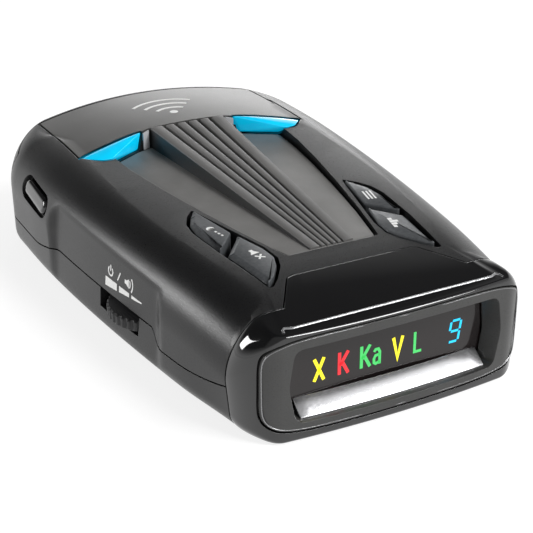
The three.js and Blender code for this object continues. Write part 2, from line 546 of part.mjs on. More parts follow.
piece('top_cover', topCover(), 'caseBlack');
piece('bottom_cover', bottomCover(), 'caseBlack');
piece('front_hood', frontHood(), 'glossBlack');
piece('rear_cover', rearCover(), 'caseBlack');
piece('crown_panel', crownPanel(), 'satinGrey');
piece('ribbed_panel', ribbedPanel(), 'satinGrey');
piece('display_bezel', displayBezel(), 'satinGrey');
piece('reflector_bar', reflectorBar(), 'chrome');
piece('display_window', box(-18.9, 18.9, 4.5, 5.5, 5, 16.3), 'smokedWindow');
piece('display_module', box(-18.9, 18.9, 5.8, 8.4, 4.6, 16.6), 'darkPlastic');
piece('display_board', box(-20.5, 20.5, 8.7, 10.3, 3, 17.2), 'board');
piece('board_header', box(-9, 9, 10.6, 12.7, 11, 13.6), 'darkPlastic');
for (const [side, hand] of [[-1, 'left'], [1, 'right']]) {
  piece(`alert_lens_${hand}`, alertLens(side), 'blueLens');
  piece(`alert_led_${hand}`, box(
    side * LENS_STEM.x - 1.4, side * LENS_STEM.x + 1.4, 83.6, 86.4, boardTop + GAP, boardTop + 1.6,
  ), 'whitePlastic');
  for (const [end, key] of Object.entries(KEYS)) {
    piece(`${end}_${hand}_button`, keyCap(side, key), 'keyGrey');
    piece(`${end}_${hand}_switch`, keySwitch(side, key), 'darkPlastic');
    piece(`${end}_${hand}_plunger`, keyPlunger(side, key), 'whitePlastic');
  }
}
piece('volume_wheel', volumeWheel(), 'darkPlastic');
piece('volume_pot', volumePot(), 'whitePlastic');
piece('release_button', releaseButton(), 'glossBlack');
piece('latch_slider', latchSlider(), 'whitePlastic');
piece('latch_spring', latchSpring(), 'metal');
piece('spring_post', springPost(), 'darkPlastic');
piece('bracket_socket', bracketSocket(), 'darkPlastic');
piece('main_board', mainBoard(), 'board');
piece('horn_antenna', hornAntenna(), 'metal');
piece('mixer_board', box(-7.5, 7.5, 66, 82, 10.6, 11.4), 'board');
piece('shield_can', box(-11, 11, 58, 77.5, boardTop + GAP, boardTop + 3.2), 'metal');
piece('processor_chip', box(-5, 5, 40, 50, boardTop + GAP, boardTop + 1.8), 'darkPlastic');
piece('supply_capacitor', drum(9, 54, boardTop + GAP, CEILING - 0.8, 2.5, 16), 'metal');
piece('laser_window', body.intersect(rearZone(0)).intersect(box(17.8, 26.2, 90, 130, 6.8, 12.2)), 'redLens');
piece('laser_sensor', box(17.8, 23, 92, 97.5, 5, 11), 'darkPlastic');
piece('speaker_frame', speakerFrame(), 'metal');
piece('speaker_cone', speakerCone(), 'paper');
piece('speaker_magnet', speakerMagnet(), 'metal');
piece('power_jack', jackBody(), 'darkPlastic');
piece('power_jack_pin', jackPin(), 'metal');
SCREW_SPOTS.forEach(([x, y], i) => piece(`case_screw_${i + 1}`, caseScrew(x, y), 'metal'));

export default detector;
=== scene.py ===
"""Windscreen radar detector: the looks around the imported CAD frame."""

import json
import math

import bmesh
import bpy
import numpy as np
from mathutils import Matrix, Vector


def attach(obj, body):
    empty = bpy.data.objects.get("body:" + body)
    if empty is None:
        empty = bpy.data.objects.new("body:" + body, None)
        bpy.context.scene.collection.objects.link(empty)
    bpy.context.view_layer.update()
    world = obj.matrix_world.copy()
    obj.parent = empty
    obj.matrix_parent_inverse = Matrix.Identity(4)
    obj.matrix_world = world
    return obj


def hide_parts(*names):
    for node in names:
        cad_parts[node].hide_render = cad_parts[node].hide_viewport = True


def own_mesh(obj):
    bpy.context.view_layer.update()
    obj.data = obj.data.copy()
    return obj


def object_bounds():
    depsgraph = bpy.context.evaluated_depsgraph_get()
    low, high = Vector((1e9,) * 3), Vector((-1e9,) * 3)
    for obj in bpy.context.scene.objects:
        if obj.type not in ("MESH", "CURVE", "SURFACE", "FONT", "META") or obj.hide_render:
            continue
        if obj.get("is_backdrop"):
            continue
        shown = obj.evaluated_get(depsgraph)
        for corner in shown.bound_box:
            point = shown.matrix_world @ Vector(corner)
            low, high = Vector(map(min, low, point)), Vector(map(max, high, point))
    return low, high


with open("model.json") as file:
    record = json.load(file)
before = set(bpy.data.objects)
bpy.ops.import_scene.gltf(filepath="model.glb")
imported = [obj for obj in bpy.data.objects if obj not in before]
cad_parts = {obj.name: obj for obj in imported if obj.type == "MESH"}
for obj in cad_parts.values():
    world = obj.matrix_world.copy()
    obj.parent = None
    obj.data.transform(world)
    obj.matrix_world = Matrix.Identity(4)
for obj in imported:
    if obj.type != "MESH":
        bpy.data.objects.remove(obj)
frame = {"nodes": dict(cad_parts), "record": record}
cad_low, cad_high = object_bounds()

MM = 0.001
MIDDLE = 55.0                      # half the length: shapes are worked out in mm from the display face
MERGE = 0.012                      # points closer than this, in mm, become one
TO_FRAME = Matrix.Scale(MM, 4) @ Matrix.Translation((0, -MIDDLE, 0))

# ------------------------------------------------------------------ driving dimensions, in mm
LENGTH, WIDTH, WIDEST_Y = 110.0, 71.2, 84.0
FRONT_ROUND, FRONT_BOW = 6.5, 0.0021
REAR_ROUND, REAR_BOW = 11.5, 0.003
CREASE_X, CROWN, CEILING = 23.7, 0.0042, 18.6
SHOULDER_FRONT, SHOULDER_REAR, SHOULDER_DROP = 10.6, 11.8, 11
WALL, HOOD_WALL = 2, 1.7
FACET_DEPTH, FACET_LEAN, FACET_FROM, FACET_TO, FACET_RAMP = 0.45, 0.22, 27.5, 74.0, 3.0
SEAM_LOW, SEAM_REAR, SEAM_HIGH = 6.4, 6.9, 9.0
HOOD_Y, TAB_Y, TAB_X = 8.8, 16.2, 17.6
REAR_SKIN, REAR_FROM = 1.9, 99.0
PANEL_FRONT, PANEL_FLOOR, STEP_Y = 22.9, 20.4, 83.8
LENS_TIP = (25.4, 79.5)
PLATE_BOTTOM = 20.1                # underside of the trim panel's two plates
FACE = dict(half=25.2, tall=8.7, z=10.1, power=6)
DISPLAY_Y = 4.48                   # the lit characters stand on this plane
GAP = 0.3
WHEEL = dict(x=-24.6, y=43.8, z=5.5, r=9.4, t=2.2, bore=1.8, ridges=40)
RELEASE = dict(x=-35.0, y=82.3, z=16.5, tilt=0.08, lean=0.36, half_long=6.3, half_high=1.6, travel=1.2)
SPRING = dict(x=17.3, y=81.3, z=14.9, long=6.6, coil=1.0, wire=0.25, turns=4.5)
SCREWS = [(22.5, 19), (-22.5, 19), (27, 89), (-27, 89)]
SCREW_POST, SCREW_HEAD, SCREW_SHANK = 3.8, 2.7, 1.3
SPEAKER = dict(x=5.0, y=37.5, r=12.5, pitch=2.6, slot=0.6)
JACK, JACK_HOLE = (59.0, 7.2), 4.2
KEY_LIFT = 0.45
PRINT_HIGH, PRINT_LOW = 0.035, -0.05
PAD, AHEAD, BEHIND, UNDER = 60.0, -5, 130, -5   # reach of the cutting blocks, well outside the case


# ------------------------------------------------------------------ outer form
def smooth(t):
    t = np.clip(t, 0, 1)
    return t * t * (3 - 2 * t)


def mix(a, b, t):
    return a + (b - a) * t


def half_width(y):
    return WIDTH / 2 - 0.0068 * np.maximum(0, WIDEST_Y - y) ** 1.62


def deck_z(y):
    return 21 + 0.035 * y - 0.0023 * np.maximum(0, 28 - y) ** 2 - 0.0015 * np.maximum(0, y - 80) ** 2


def crown_z(x, y):
    return deck_z(y) + CROWN * smooth((y - 15) / 65) * (CREASE_X**2 - x * x)


def facet(y):
    return FACET_DEPTH * smooth((y - FACET_FROM) / FACET_RAMP) * smooth((FACET_TO - y) / FACET_RAMP)


def seam_z(y):
    low = mix(SEAM_LOW, SEAM_REAR, smooth((y - 60) / 20)) + 0.0107 * np.maximum(0, 23 - y) ** 2
    return mix(low, SEAM_HIGH, smooth((y - 29.6) / 2.6) * smooth((82 - y) / 13))


def panel_z(y):
    return 21.5 + 0.008 * (y - PANEL_FRONT)


def lens_line(x):
    return mix(STEP_Y, LENS_TIP[1], np.clip((np.abs(x) - 8.4) / (LENS_TIP[0] - 8.4), 0, 1))


FRONT_EDGE = float(half_width(FRONT_ROUND)) - FRONT_ROUND


def shoulder(y):
    """How far in from the side the shoulder's curve reaches."""
    return mix(SHOULDER_FRONT, SHOULDER_REAR, smooth((y - 15) / 60))


def half_outline():
    """Half of the outline seen from above, from the middle of the display face to that of the rear."""
    rear_edge = WIDTH / 2 - REAR_ROUND
    points = [(x, FRONT_BOW * x * x) for x in np.linspace(0.4, FRONT_EDGE - 0.6, 22)]
    for a in np.linspace(0, math.pi / 2, 22):
        x = FRONT_EDGE + FRONT_ROUND * math.sin(a)
        y = FRONT_BOW * x * x + FRONT_ROUND * (1 - math.cos(a))
        points.append((x + float(half_width(y) - half_width(FRONT_ROUND)) * math.sin(a) ** 2, y))
    points += [(float(half_width(y)), y) for y in np.linspace(9.2, 90, 86)]
    for a in np.linspace(0, math.pi / 2, 26):
        x = rear_edge + REAR_ROUND * math.cos(a)
        points.append((x, LENGTH - REAR_BOW * x * x - REAR_ROUND * (1 - math.sin(a))))
    points += [(x, LENGTH - REAR_BOW * x * x) for x in np.linspace(rear_edge - 1.2, 0.4, 18)]
    return np.array(points)


def outline(inset):
    """The whole outline pulled inward, as rows of x, y and the outward normal."""
    right = half_outline()
    ring = np.concatenate([right, (right * [-1, 1])[::-1]])
    along = np.roll(ring, -1, 0) - np.roll(ring, 1, 0)
    along /= np.linalg.norm(along, axis=1)[:, None]
    normal = np.stack([along[:, 1], -along[:, 0]], 1)
    return np.concatenate([ring - normal * inset, normal], 1)


def unfolded(ring):
    """Spreads the points of a corner that was pulled inward past its own centre."""
    angle = np.unwrap(np.arctan2(ring[:, 1] - MIDDLE, ring[:, 0]))
    clear = (angle >= np.maximum.accumulate(angle)) & (angle <= np.minimum.accumulate(angle[::-1])[::-1])
    index = np.arange(len(ring))
    return np.stack([np.interp(index, index[clear], column[clear]) for column in ring.T], 1)


def case_form(inset, under_steps=8, side_steps=22):
    """The smooth outer form of the case, or the same form shrunk for its hollow."""
    x, y, nx, ny = outline(inset).T
    side = nx**2
    front = np.where(ny < 0, ny**2, 0)
    rear = 1 - side - front
    rim_back = side * shoulder(y) + front * 0.6 + rear * 1.6
    across = np.maximum(0.4, rim_back - inset)
    down = np.maximum(0.4, side * SHOULDER_DROP + front * 0.6 + rear * 1.6 - inset)
    under = np.maximum(0.3, side * 3.8 + front * 0.5 + rear * 1.5 - inset)
    lean = side * 0.6 * smooth((24 - y) / 16)
    top = crown_z(x - nx * rim_back, y - ny * rim_back) - inset

    def level(back, z):
        """The ring at height z, pulled in by back, with the side facets cut into it."""
        limit = half_width(y) - facet(y) * (1 + FACET_LEAN * np.maximum(0, z - 6)) - inset
        px = x - nx * back
        px = np.sign(px) * np.minimum(np.abs(px), limit)
        return unfolded(np.stack([px, y - ny * back, z + 0 * y], 1))

    foot = level(under + lean, inset)
    rings = [np.stack([foot[:, 0] * s, mix(MIDDLE, foot[:, 1], s), foot[:, 2]], 1) for s in (0.4, 0.75)]
    for turn in np.linspace(0, math.pi / 2, under_steps):
        rings.append(level(lean + under * (1 - math.sin(turn)), inset + under * (1 - math.cos(turn))))
    for turn in np.linspace(0, math.pi / 2, side_steps):
        rings.append(level(across * (1 - math.cos(turn)), top - down * (1 - math.sin(turn))))
    rim = rings[-1]
    for s in (0.97, 0.93, 0.88, 0.81, 0.72, 0.62, 0.5, 0.37, 0.24, 0.12):
        px, py = rim[:, 0] * s, mix(MIDDLE, rim[:, 1], s)
        rings.append(np.stack([px, py, crown_z(px, py) - inset], 1))
    return loft(rings, [0, MIDDLE, inset], [0, MIDDLE, float(crown_z(0, MIDDLE)) - inset])


# ------------------------------------------------------------------ solids in mm
scratch = []


def circle(sides):
    """Angles evenly round a circle."""
    return np.arange(sides) / sides * 2 * math.pi


def new_object(name, mesh):
    obj = bpy.data.objects.new(name, mesh)
    bpy.context.scene.collection.objects.link(obj)
    return obj


def solid(points, faces):
    """A scratch body whose faces point outward."""
    mesh = bpy.data.meshes.new("solid")
    mesh.from_pydata([tuple(map(float, p)) for p in points], [], [tuple(map(int, f)) for f in faces])
    bm = bmesh.new()
    bm.from_mesh(mesh)
    bmesh.ops.recalc_face_normals(bm, faces=bm.faces)
    bm.to_mesh(mesh)
    bm.free()
    obj = new_object("solid", mesh)
    scratch.append(obj)
    return obj


def loft(rings, start=None, end=None):
    """A closed body through rings of equal length, closed by points or by flat caps."""
    n, count = len(rings[0]), len(rings)
    points = [p for ring in rings for p in ring]
    faces = []
    for k in range(count - 1):
        for i in range(n):
            j = (i + 1) % n
            faces.append((k * n + i, k * n + j, (k + 1) * n + j, (k + 1) * n + i))
    for cap, at in ((start, 0), (end, (count - 1) * n)):
        if cap is None:
            faces.append(tuple(range(at, at + n)))
        else:
            points.append(cap)
            faces += [(at + i, at + (i + 1) % n, len(points) - 1) for i in range(n)]
    return solid(points, faces)


def prism(points, low, high, axis="z"):
    """An outline swept along z, or an outline of (y, z) along x, or one of (x, z) along y."""
    along = {"z": lambda u, v, w: (u, v, w), "x": lambda u, v, w: (w, u, v), "y": lambda u, v, w: (u, w, v)}
    place = along[axis]
    return loft([[place(u, v, w) for u, v in points] for w in (low, high)])


def block(x0, x1, y0, y1, z0, z1):
    return prism([(x0, y0), (x1, y0), (x1, y1), (x0, y1)], z0, z1)


def drum(u, v, low, high, r, axis="z", sides=48):
    """A cylinder along an axis, from low to high."""
    return prism([(u + r * math.cos(a), v + r * math.sin(a)) for a in circle(sides)], low, high, axis)


def hull(points):
    bm = bmesh.new()
    for p in points:
        bm.verts.new(p)
    bmesh.ops.convex_hull(bm, input=bm.verts)
    bmesh.ops.delete(bm, geom=[v for v in bm.verts if not v.link_faces], context="VERTS")
    bmesh.ops.recalc_face_normals(bm, faces=bm.faces)
    bmesh.ops.dissolve_limit(bm, angle_limit=math.radians(1), verts=bm.verts, edges=bm.edges)
    mesh = bpy.data.meshes.new("hull")
    bm.to_mesh(mesh)
    bm.free()
    obj = new_object("hull", mesh)
    scratch.append(obj)
    return obj


def evaluated(obj):
    """A plain copy of an object with its modifiers applied."""
    graph = bpy.context.evaluated_depsgraph_get()
    mesh = bpy.data.meshes.new_from_object(obj.evaluated_get(graph), depsgraph=graph)
    made = new_object(obj.name, mesh)
    scratch.append(made)
    return made


def combined(operation, first, others):
    obj = new_object("work", first.data.copy())
    scratch.append(obj)
    for other in others:
        step = obj.modifiers.new("step", "BOOLEAN")
        step.operation, step.solver, step.object = operation, "MANIFOLD", other
    return evaluated(obj)


def cut(first, *others):
    return combined("DIFFERENCE", first, others)


def keep(first, *others):
    return combined("INTERSECT", first, others)


def join(first, *others):
    return combined("UNION", first, others)


def bevelled(obj, width, steps=3, angle=35):
    work = new_object("work", obj.data.copy())
    scratch.append(work)
    bevel = work.modifiers.new("bevel", "BEVEL")
    bevel.width, bevel.segments = width, steps
    bevel.limit_method, bevel.angle_limit = "ANGLE", math.radians(angle)
    return evaluated(work)


def mirrored(points):
    return [(-x, y) for x, y in points][::-1]


def sided(points, side):
    return mirrored(points) if side < 0 else list(points)


def rounded(points, radius, steps=5):
    """A polygon with its corners rounded; radius is one number or one for each corner."""
    radii = [radius] * len(points) if np.isscalar(radius) else radius
    made = []
    for i, (p, r) in enumerate(zip(points, radii)):
        p = np.array(p, float)
        a = np.array(points[i - 1], float) - p
        b = np.array(points[(i + 1) % len(points)], float) - p
        la, lb = np.linalg.norm(a), np.linalg.norm(b)
        a, b = a / la, b / lb
        half = math.acos(float(np.clip(a @ b, -1, 1))) / 2
        reach = min(r / math.tan(half), 0.48 * la, 0.48 * lb)
        first, last = p + a * reach, p + b * reach
        for t in np.linspace(0, 1, steps + 1):
            made.append(tuple(first * (1 - t) ** 2 + 2 * p * t * (1 - t) + last * t * t))
    return made


def inset_plan(inset):
    return prism([(x, y) for x, y, _, _ in outline(inset)], UNDER, PAD)


# ------------------------------------------------------------------ zones that divide the case
outer = case_form(0)
hollow = keep(case_form(WALL), block(-PAD, PAD, AHEAD, BEHIND, -1, CEILING))


def hood_zone(grow):
    """The band at the front and the tab that runs back from its middle."""
    edge = HOOD_Y - 0.9
    band = prism([
        (-PAD, AHEAD), (PAD, AHEAD), (PAD, HOOD_Y + grow), (TAB_X, edge + grow), (-TAB_X, edge + grow),
        (-PAD, HOOD_Y + grow)], UNDER, PAD)
    tab = [(TAB_X + grow, 0), (TAB_X + grow, edge), (12.7 + grow, TAB_Y - 0.4), (11.4, TAB_Y + grow)]
    tab = rounded(tab + mirrored(tab), [0, 0, 1.2, 1.2, 1.2, 1.2, 0, 0])
    return join(band, prism(tab, CEILING - 6, PAD))


def rear_zone(grow):
    return cut(block(-PAD, PAD, REAR_FROM - grow, 140, UNDER, PAD), inset_plan(REAR_SKIN + grow))


def below(shift):
    """Everything under the seam between the two covers."""
    stations = np.concatenate([[BEHIND], np.linspace(84, 27, 115), np.linspace(26.5, AHEAD, 40)])
    seam = [(y, float(seam_z(y)) + shift) for y in stations]
    return prism([(AHEAD, UNDER), (BEHIND, UNDER)] + seam, -PAD, PAD, "x")


def crown_plan(shrink):
    half = LENS_TIP[0] + 0.3 - shrink
    front = [(x, float(lens_line(x)) + shrink) for x in np.linspace(-half, half, 41)]
    plan = prism(front + [(half, 118), (-half, 118)], 20.6 + shrink, PAD)
    return keep(plan, inset_plan(REAR_SKIN + GAP + shrink))


# The deck is cut down in front of the lenses, so the crown stands above it
deck_line = [(y, float(deck_z(y)) + 0.08 * float(smooth((21 - y) / 5))) for y in np.linspace(0, 90, 91)]
crown_edge = [(x, float(lens_line(x))) for x in np.linspace(-LENS_TIP[0], LENS_TIP[0], 41)]
behind_lenses = [(PAD, LENS_TIP[1]), (PAD, BEHIND), (-PAD, BEHIND), (-PAD, LENS_TIP[1])]
deck_cut = cut(prism(deck_line + [(90, PAD), (AHEAD, PAD), (AHEAD, float(deck_z(0)))], -PAD, PAD, "x"),
               prism(crown_edge + behind_lenses, UNDER, PAD + 1))
body = cut(outer, deck_cut)


# ------------------------------------------------------------------ materials
def node(tree, kind, **values):
    """A new node, with its sockets or settings given by name."""
    made = tree.nodes.new(kind)
    for name, value in values.items():
        if name in made.inputs:
            made.inputs[name].default_value = value
        else:
            setattr(made, name, value)
    return made


COAT_ROUGH, IOR = 0.05, 1.5
NOISE_LOW, NOISE_HIGH = 0.3, 0.7   # the part of the noise that the ramps spread over


def finish(name, color, rough, metallic=0.0, coat=0.0, grain=0.12, relief=0.02, mottle=0.12,
           mottle_size=9.0, rough_spread=0.06, edge=0.12, stretch=(1, 1, 1), specular=0.5, glow=None,
           glow_power=0.0):
    """Moulded or metal surface: grain, relief, mottle_size and edge are in mm."""
    material = bpy.data.materials.new(name)
    material.use_nodes = True
    tree = material.node_tree
    link = tree.links.new
    shader = tree.nodes["Principled BSDF"]
    place = node(tree, "ShaderNodeTexCoord")
    scale = node(tree, "ShaderNodeMapping")
    scale.inputs["Scale"].default_value = stretch
    link(place.outputs["Object"], scale.inputs["Vector"])
    fine = node(tree, "ShaderNodeTexNoise", Scale=1 / (grain * MM), Detail=2.0, Roughness=0.6)
    broad = node(tree, "ShaderNodeTexNoise", Scale=1 / (mottle_size * MM), Detail=4.0, Roughness=0.55)
    link(scale.outputs["Vector"], fine.inputs["Vector"])
    link(place.outputs["Object"], broad.inputs["Vector"])
    ramp = node(tree, "ShaderNodeValToRGB")
    low, high = [[c * f for c in color] + [1] for f in (1 - mottle, 1 + mottle)]
    for element, at, tone in zip(ramp.color_ramp.elements, (NOISE_LOW, NOISE_HIGH), (low, high)):
        element.position, element.color = at, tone
    link(broad.outputs["Fac"], ramp.inputs["Fac"])
    link(ramp.outputs["Color"], shader.inputs["Base Color"])
    spread = node(tree, "ShaderNodeMapRange")
    spread.inputs["From Min"].default_value, spread.inputs["From Max"].default_value = NOISE_LOW, NOISE_HIGH
    spread.inputs["To Min"].default_value = max(0.02, rough - rough_spread)
    spread.inputs["To Max"].default_value = rough + rough_spread
    link(fine.outputs["Fac"], spread.inputs["Value"])
    link(spread.outputs["Result"], shader.inputs["Roughness"])
    bump = node(tree, "ShaderNodeBump", Strength=1.0, Distance=relief * MM)
    link(fine.outputs["Fac"], bump.inputs["Height"])
    if edge:
        soft = node(tree, "ShaderNodeBevel", samples=4)
        soft.inputs["Radius"].default_value = edge * MM
        link(soft.outputs["Normal"], bump.inputs["Normal"])
    link(bump.outputs["Normal"], shader.inputs["Normal"])
    shader.inputs["Metallic"].default_value = metallic
    shader.inputs["Coat Weight"].default_value = coat
    shader.inputs["Coat Roughness"].default_value = COAT_ROUGH
    shader.inputs["Specular IOR Level"].default_value = specular
    shader.inputs["IOR"].default_value = IOR
    if glow:
        shader.inputs["Emission Color"].default_value = (*glow, 1)
        shader.inputs["Emission Strength"].default_value = glow_power
    return material


case_black = finish("case_black", (0.010, 0.010, 0.0105), 0.31, grain=0.16, relief=0.014, rough_spread=0.05,
                    specular=0.36)
gloss_black = finish("gloss_black", (0.006, 0.006, 0.0065), 0.05, coat=0.6, grain=0.5, relief=0.0006,
                     rough_spread=0.015, mottle_size=14)
# Light metal for the bead on the hood's upper edge: a painted highlight line, the real edge being gloss
# black
painted_highlight_lip = finish("painted_highlight_lip", (0.5, 0.5, 0.51), 0.2, metallic=1, grain=0.3, relief=0.001, mottle=0.05)
satin_grey = finish("satin_grey", (0.075, 0.074, 0.071), 0.34, metallic=0.25, grain=0.14, relief=0.008,
                    rough_spread=0.05)
panel_grey = finish("panel_grey", (0.17, 0.167, 0.162), 0.5, grain=0.14, relief=0.008, rough_spread=0.05)
# Light metal for the bead round the display face: a painted highlight line on the bezel's edge
painted_highlight_rim = finish("painted_highlight_rim", (0.26, 0.26, 0.265), 0.28, metallic=1, grain=0.3, relief=0.001, mottle=0.05)
rib_grey = finish("rib_grey", (0.115, 0.113, 0.110), 0.45, grain=0.14, relief=0.008, rough_spread=0.05)
bezel_grey = finish("bezel_grey", (0.036, 0.036, 0.035), 0.3, grain=0.12, relief=0.006, rough_spread=0.04)
# Near black laid over the ribbed wedge's side walls: painted shade where those walls fall in shadow
painted_shade_black = finish("painted_shade_black", (0.006, 0.006, 0.006), 0.45, grain=0.2, relief=0.01)
key_grey = finish("key_grey", (0.10, 0.106, 0.112), 0.38, metallic=0.35, grain=0.42, relief=0.014,
                  mottle=0.22, mottle_size=0.7, rough_spread=0.05, stretch=(1.0, 0.3, 1.0), edge=0.22)
chrome = finish("chrome", (0.80, 0.80, 0.82), 0.2, metallic=1, grain=0.5, relief=0.0008, rough_spread=0.03,
                mottle=0.04, edge=0.1)
silver = finish("silver", (0.50, 0.51, 0.53), 0.4, grain=0.3, relief=0.004, mottle=0.05)
blue_lens = finish("blue_lens", (0.0, 0.50, 0.78), 0.12, coat=0.8, grain=0.8, relief=0.004, mottle=0.2,
                   mottle_size=6, glow=(0.002, 0.50, 0.82), glow_power=0.45)
smoked = finish("smoked_window", (0.012, 0.009, 0.009), 0.08, grain=0.6, relief=0.001, rough_spread=0.02)
red_lens = finish("red_lens", (0.045, 0.002, 0.004), 0.08, coat=0.5, grain=0.8, relief=0.001)
dark_plastic = finish("dark_plastic", (0.012, 0.012, 0.013), 0.5, grain=0.15, relief=0.012)
white_plastic = finish("white_plastic", (0.74, 0.73, 0.69), 0.45, grain=0.2, relief=0.006, mottle=0.04)
board_green = finish("board", (0.012, 0.10, 0.035), 0.4, grain=0.5, relief=0.01, mottle=0.25, mottle_size=3)
steel = finish("steel", (0.50, 0.50, 0.51), 0.32, metallic=1, grain=0.3, relief=0.004, mottle=0.06)
cast_metal = finish("cast_metal", (0.42, 0.42, 0.43), 0.5, metallic=1, grain=0.35, relief=0.03, mottle=0.1)
paper = finish("paper", (0.024, 0.020, 0.016), 0.9, grain=0.25, relief=0.03, mottle=0.3, mottle_size=2)
print_white = finish("print_white", (0.86, 0.86, 0.85), 0.5, grain=0.2, relief=0.002, mottle=0.03, edge=0)


def lit(name, color, power):
    """A lit character's look."""
    return finish(name, [c * 0.6 for c in color], 0.4, grain=0.3, relief=0.001, mottle=0.05, edge=0,
                  glow=color, glow_power=power)


yellow_light = lit("yellow_light", (1.0, 0.86, 0.02), 0.9)
red_light = lit("red_light", (0.86, 0.02, 0.03), 0.9)
green_light = lit("green_light", (0.06, 0.56, 0.13), 0.8)
cyan_light = lit("cyan_light", (0.01, 0.55, 0.92), 0.9)


# ------------------------------------------------------------------ pieces
def piece(name, obj, material, replaced=(), rides="case", smooth_angle=28):
    """A finished piece in the frame's metres, from a scratch body in mm."""
    mesh = obj.data.copy()
    bm = bmesh.new()
    bm.from_mesh(mesh)
    bmesh.ops.remove_doubles(bm, verts=bm.verts, dist=MERGE)
    bmesh.ops.dissolve_degenerate(bm, edges=bm.edges, dist=MERGE)
    bm.to_mesh(mesh)
    bm.free()
    mesh.transform(TO_FRAME)
    mesh.name = name
    mesh.materials.clear()
    mesh.materials.append(material)
    mesh.polygons.foreach_set("material_index", [0] * len(mesh.polygons))
    mesh.polygons.foreach_set("use_smooth", [True] * len(mesh.polygons))
    mesh.set_sharp_from_angle(angle=math.radians(smooth_angle))
    made = new_object(name, mesh)
    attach(made, rides)
    if replaced:
        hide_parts(*replaced)
    return made


REAR_KEY = [(16, 45.7), (17.5, 43.8), (18.9, 41), (19.3, 37.5), (18.5, 29.2), (13.9, 34.5)]
FRONT_KEY = [(13.4, 33), (18, 27.2), (16.5, 15.2), (14.6, 17), (12.4, 20.2), (11.4, 22.9), (11.6, 26.4)]
KEY_HOLE = [(16, 46.6), (18, 44.2), (19.5, 41.2), (19.9, 37.5), (18.9, 27.2), (17, 14.2), (16.1, 14.2),
            (14.2, 16.3), (11.8, 19.8), (10.8, 22.6), (11.1, 27), (13, 34.6)]
key_hole = rounded(KEY_HOLE, [0.4, 0.8, 1, 1, 1, 0.4, 0.4, 0.8, 1, 1, 1.4, 1.4])


def key_top(y):
    front, rear = float(deck_z(14)) + KEY_LIFT, float(deck_z(60)) + KEY_LIFT
    return front + (rear - front) * (y - 14) / 46


def panel_half(grow):
    return [(8.7 + grow, PANEL_FRONT - grow), (11.6 + grow, 34), (14.2 + grow, 46), (16.5 + grow, 58),
            (18.2 + grow, 69), (18.9 + grow, 77.4 + grow), (12.3, 81.6 + grow), (8.6, 83.2 + grow)]


def panel_plan(grow):
    half = panel_half(grow)
    corners = [0.7, 4, 4, 4, 4, 1.2, 1, 0.3]
    return rounded(half + mirrored(half), corners + corners[::-1], 4)


def lens_block(side, grow):
    """A lens, or its opening when grown; its back is lower, under the crown."""
    top = [(10.7, 83.3), (14.3, 82.5), (18, 81.5), (21.6, 80.7), (25.2, 79.8)]
    front = [(22.3, 76.3, 23.8), (19.9, 76.1, 23.8), (19, 77.9, 22.3), (12, 82.3, 22.3)]
    flush = [(x, y, min(float(crown_z(x, y)), 23.9 + max(0, 24.6 - x)) - 0.06) for x, y in top]
    back = [(x * 0.98, 86, z - 2.2) for x, _, z in flush] + [(x * 0.98, 86, 21.2) for x, _, _ in front]
    spread = [(0, 0, 0)]
    if grow:
        spread = [(1, 0, 0), (-1, 0, 0), (0, 1, 0), (0, -1, 0), (0, 0, 1), (0, 0, -1)]
    return hull([(side * (x + a * grow), y + b * grow, z + c * grow)
                 for x, y, z in flush + front + back for a, b, c in spread])


def pill(half_long, half_high, steps=14):
    reach = half_long - half_high
    ends = [(1, np.linspace(-math.pi / 2, math.pi / 2, steps)),
            (-1, np.linspace(math.pi / 2, 1.5 * math.pi, steps))]
    return [(s * reach + half_high * math.cos(a), half_high * math.sin(a))
            for s, turns in ends for a in turns]


def release_ring(grow, depth, lean=RELEASE["lean"], drop=0.0):
    """The button's pill outline, grown on all sides, at a depth below the shoulder."""
    ct, st, cl, sl = (f(a) for a in (RELEASE["tilt"], lean) for f in (math.cos, math.sin))
    ring = []
    for u, v in pill(RELEASE["half_long"] + grow, RELEASE["half_high"] + grow):
        y, z = u * ct - v * st, u * st + v * ct
        ring.append((RELEASE["x"] + depth * cl + z * sl, RELEASE["y"] + y,
                     RELEASE["z"] - drop - depth * sl + z * cl))
    return ring


# Covers
button_recess = loft([release_ring(1.1, -20), release_ring(1.1, -0.1), release_ring(0.75, 1.3)])
button_hole = loft([release_ring(0.4, -20, 0.0, 0.3), release_ring(0.4, 8, 0.0, 0.3)])
jack_hole = drum(*JACK, 20, PAD, JACK_HOLE, "x")
cover = cut(body, hollow, below(GAP / 2), hood_zone(GAP), rear_zone(GAP), crown_plan(-0.15),
            prism(panel_plan(0.5), PLATE_BOTTOM, PAD), prism(key_hole, CEILING - 1, PAD),
            prism(mirrored(key_hole), CEILING - 1, PAD), lens_block(1, 0.5), lens_block(-1, 0.5),
            button_recess, button_hole, jack_hole)
piece("top_cover_skin", cover, case_black, ["top_cover"])

lower = cut(keep(body, below(-GAP / 2)), hollow, hood_zone(GAP), rear_zone(GAP))
lower = join(lower, *[drum(x, y, 0.5, float(seam_z(y)) - 0.2, SCREW_POST) for x, y in SCREWS])
slots = []
for i in range(-4, 5):
    reach = math.sqrt(SPEAKER["r"] ** 2 - (SPEAKER["pitch"] * i) ** 2)
    x, slot = SPEAKER["x"] + SPEAKER["pitch"] * i, SPEAKER["slot"]
    ends = [(x + slot * math.cos(a), SPEAKER["y"] + s * (reach - slot) + slot * math.sin(a))
            for s, turns in ((1, np.linspace(0, math.pi, 7)), (-1, np.linspace(math.pi, 2 * math.pi, 7)))
            for a in turns]
    slots.append(prism(ends, -1, 3))
wheel_well = drum(WHEEL["x"], WHEEL["y"], WHEEL["z"] - 0.5, 30, WHEEL["r"] + 0.5, sides=72)
wheel_window = block(-PAD, -25, 37.2, 51.4, WHEEL["z"] - 0.4, 30)
